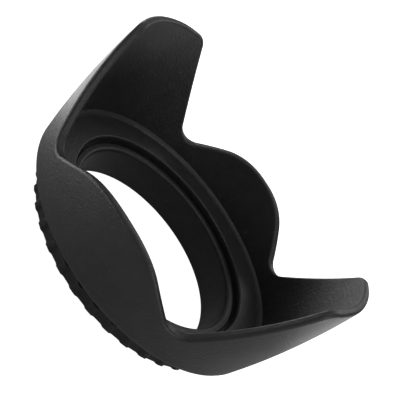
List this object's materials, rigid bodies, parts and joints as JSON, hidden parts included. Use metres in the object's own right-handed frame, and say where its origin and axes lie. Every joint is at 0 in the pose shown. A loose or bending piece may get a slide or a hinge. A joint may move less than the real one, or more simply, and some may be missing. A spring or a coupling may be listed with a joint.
{
  "type": "lens hood",
  "caption": "Screw-in petal lens hood: a flared black shade with long and short petals, turning on a threaded tube and clamped by a scalloped lock ring.",
  "frame": {"origin": "centre of the rear face of the lens thread, on the optical axis; the hood stands on that face", "axes": "+Z along the optical axis from the lens to the subject; the long petals point along +X and -X"},
  "size_m": [0.0864, 0.085, 0.046],
  "materials": {
    "shade_plastic": "fine-grained matte black moulding",
    "tube_plastic": "matte black moulding with a turned look",
    "ring_plastic": "matte black moulding, slightly worn on its ribs",
    "washer_plastic": "smooth black nylon"
  },
  "bodies": {
    "mount": {"mount_ring": "tube_plastic", "friction_washer": "washer_plastic"},
    "shade": {"petal_shade": "shade_plastic", "retaining_ring": "ring_plastic"},
    "washer": {"pressure_washer": "washer_plastic"},
    "lock": {"lock_ring": "ring_plastic"}
  },
  "joints": [
    {"name": "shade_turn", "type": "hinge", "parent": "mount", "child": "shade", "pos_m": [0, 0, 0.0095], "axis": [0, 0, 1], "continuous": true},
    {"name": "washer_slide", "type": "slide", "parent": "mount", "child": "washer", "axis": [0, 0, 1], "range_m": [0, 0.00075]},
    {"name": "lock_turn", "type": "hinge", "parent": "washer", "child": "lock", "pos_m": [0, 0, 0.00425], "axis": [0, 0, 1], "range_deg": [0, 360]}
  ],
  "couplings": [
    {"joint": "washer_slide", "follows": "lock_turn", "m_per_rad": 0.00011937}
  ]
}
